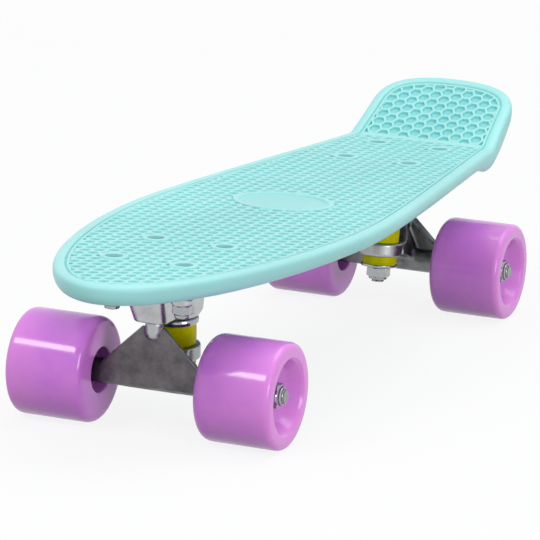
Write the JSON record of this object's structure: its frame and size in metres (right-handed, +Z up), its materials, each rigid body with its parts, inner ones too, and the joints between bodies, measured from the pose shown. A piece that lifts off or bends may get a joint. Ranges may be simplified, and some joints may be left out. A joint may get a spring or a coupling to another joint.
{
  "type": "cruiser skateboard",
  "caption": "Small plastic cruiser skateboard with a honeycomb-tread deck, turned-up kick tail, sprung kingpin trucks and wide urethane wheels",
  "frame": {"origin": "on the floor under the middle of the board's length and width", "axes": "+Z up, +X across the board to the left of a rider who faces the nose, +Y towards the kick tail, so the nose points along -Y"},
  "size_m": [0.156, 0.5384, 0.1283],
  "materials": {
    "deck_plastic": "moulded, satin gloss",
    "cast_aluminium": "polished casting",
    "wheel_urethane": "cast, semi gloss",
    "bushing_urethane": "cast, satin",
    "pivot_plastic": "moulded",
    "bright_steel": "bright nickel plate",
    "zinc_steel": "zinc plate",
    "bearing_steel": "ground steel with pressed shields"
  },
  "bodies": {
    "board": {"deck": "deck_plastic", "front_baseplate": "cast_aluminium", "front_pivot_cup": "pivot_plastic", "front_kingpin": "zinc_steel", "front_top_washer": "bright_steel", "front_top_bushing": "bushing_urethane", "front_bottom_bushing": "bushing_urethane", "front_bottom_washer": "bright_steel", "front_kingpin_nut": "bright_steel", "rear_baseplate": "cast_aluminium", "rear_pivot_cup": "pivot_plastic", "rear_kingpin": "zinc_steel", "rear_top_washer": "bright_steel", "rear_top_bushing": "bushing_urethane", "rear_bottom_bushing": "bushing_urethane", "rear_bottom_washer": "bright_steel", "rear_kingpin_nut": "bright_steel", "deck_bolt_1": "zinc_steel", "deck_bolt_2": "zinc_steel", "deck_bolt_3": "zinc_steel", "deck_bolt_4": "zinc_steel", "deck_bolt_5": "zinc_steel", "deck_bolt_6": "zinc_steel", "deck_bolt_7": "zinc_steel", "deck_bolt_8": "zinc_steel", "deck_nut_1": "bright_steel", "deck_nut_2": "bright_steel", "deck_nut_3": "bright_steel", "deck_nut_4": "bright_steel", "deck_nut_5": "bright_steel", "deck_nut_6": "bright_steel", "deck_nut_7": "bright_steel", "deck_nut_8": "bright_steel"},
    "front_axle_body": {"front_hanger": "cast_aluminium", "front_axle": "zinc_steel", "front_left_axle_sleeve": "bright_steel", "front_right_axle_sleeve": "bright_steel", "front_left_axle_nut": "zinc_steel", "front_right_axle_nut": "zinc_steel"},
    "rear_axle_body": {"rear_hanger": "cast_aluminium", "rear_axle": "zinc_steel", "rear_left_axle_sleeve": "bright_steel", "rear_right_axle_sleeve": "bright_steel", "rear_left_axle_nut": "zinc_steel", "rear_right_axle_nut": "zinc_steel"},
    "front_left_wheel_body": {"front_left_wheel": "wheel_urethane", "front_left_inner_bearing": "bearing_steel", "front_left_outer_bearing": "bearing_steel"},
    "front_right_wheel_body": {"front_right_wheel": "wheel_urethane", "front_right_inner_bearing": "bearing_steel", "front_right_outer_bearing": "bearing_steel"},
    "rear_left_wheel_body": {"rear_left_wheel": "wheel_urethane", "rear_left_inner_bearing": "bearing_steel", "rear_left_outer_bearing": "bearing_steel"},
    "rear_right_wheel_body": {"rear_right_wheel": "wheel_urethane", "rear_right_inner_bearing": "bearing_steel", "rear_right_outer_bearing": "bearing_steel"}
  },
  "joints": [
    {"name": "front_steer", "type": "hinge", "parent": "board", "child": "front_axle_body", "pos_m": [0, -0.18882, 0.066], "axis": [0, -0.761, 0.6487], "range_deg": [-15, 15], "stiffness_Nm_per_rad": 25, "deforming": ["front_top_bushing", "front_bottom_bushing"]},
    {"name": "rear_steer", "type": "hinge", "parent": "board", "child": "rear_axle_body", "pos_m": [0, 0.17758, 0.066], "axis": [0, 0.761, 0.6487], "range_deg": [-15, 15], "stiffness_Nm_per_rad": 25, "deforming": ["rear_top_bushing", "rear_bottom_bushing"]},
    {"name": "front_left_spin", "type": "hinge", "parent": "front_axle_body", "child": "front_left_wheel_body", "pos_m": [0.0555, -0.18362, 0.0295], "axis": [1, 0, 0], "continuous": true},
    {"name": "front_right_spin", "type": "hinge", "parent": "front_axle_body", "child": "front_right_wheel_body", "pos_m": [-0.0555, -0.18362, 0.0295], "axis": [1, 0, 0], "continuous": true},
    {"name": "rear_left_spin", "type": "hinge", "parent": "rear_axle_body", "child": "rear_left_wheel_body", "pos_m": [0.0555, 0.17238, 0.0295], "axis": [1, 0, 0], "continuous": true},
    {"name": "rear_right_spin", "type": "hinge", "parent": "rear_axle_body", "child": "rear_right_wheel_body", "pos_m": [-0.0555, 0.17238, 0.0295], "axis": [1, 0, 0], "continuous": true}
  ]
}
